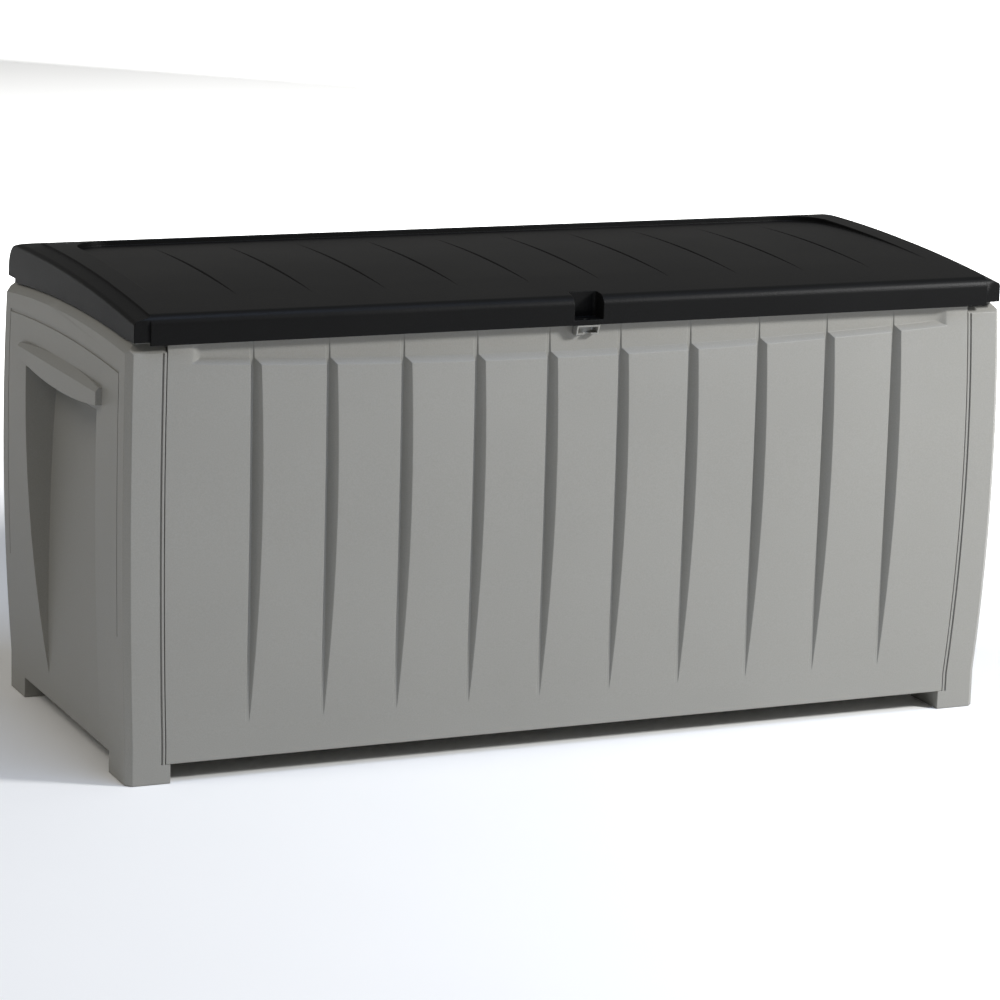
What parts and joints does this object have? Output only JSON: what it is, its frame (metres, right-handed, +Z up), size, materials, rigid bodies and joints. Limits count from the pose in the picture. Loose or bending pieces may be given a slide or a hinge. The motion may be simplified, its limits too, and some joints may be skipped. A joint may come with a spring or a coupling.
{
  "type": "deck storage box",
  "caption": "Resin deck storage box with bowed plank-look walls, side handles and a black hinged lid.",
  "frame": {"origin": "centre of the footprint on the ground", "axes": "+X to the right seen from the front, front faces -Y, +Z up"},
  "size_m": [1.254, 0.5375, 0.6214],
  "materials": {
    "grey_resin": "satin",
    "black_resin": "satin",
    "steel": "satin"
  },
  "bodies": {
    "body": {"front_panel": "grey_resin", "back_panel": "grey_resin", "left_side_panel": "grey_resin", "right_side_panel": "grey_resin", "floor_panel": "grey_resin", "padlock_loop": "grey_resin", "padlock_loop_screws": "steel", "corner_screws_front_left": "steel", "corner_screws_front_right": "steel", "corner_screws_back_left": "steel", "corner_screws_back_right": "steel", "floor_screws": "steel", "hinge_bracket_left": "black_resin", "hinge_bracket_middle": "black_resin", "hinge_bracket_right": "black_resin", "hinge_bracket_screws": "steel", "hinge_pin_left": "steel", "hinge_pin_middle": "steel", "hinge_pin_right": "steel"},
    "lid": {"lid_shell": "black_resin", "lid_liner": "black_resin", "lid_liner_screws": "steel", "hinge_leaf_left": "black_resin", "hinge_leaf_middle": "black_resin", "hinge_leaf_right": "black_resin", "hinge_leaf_screws": "steel"}
  },
  "joints": [
    {"name": "lid_hinge", "type": "hinge", "parent": "body", "child": "lid", "pos_m": [0, 0.26058, 0.567], "axis": [-1, 0, 0], "range_deg": [0, 100]}
  ]
}
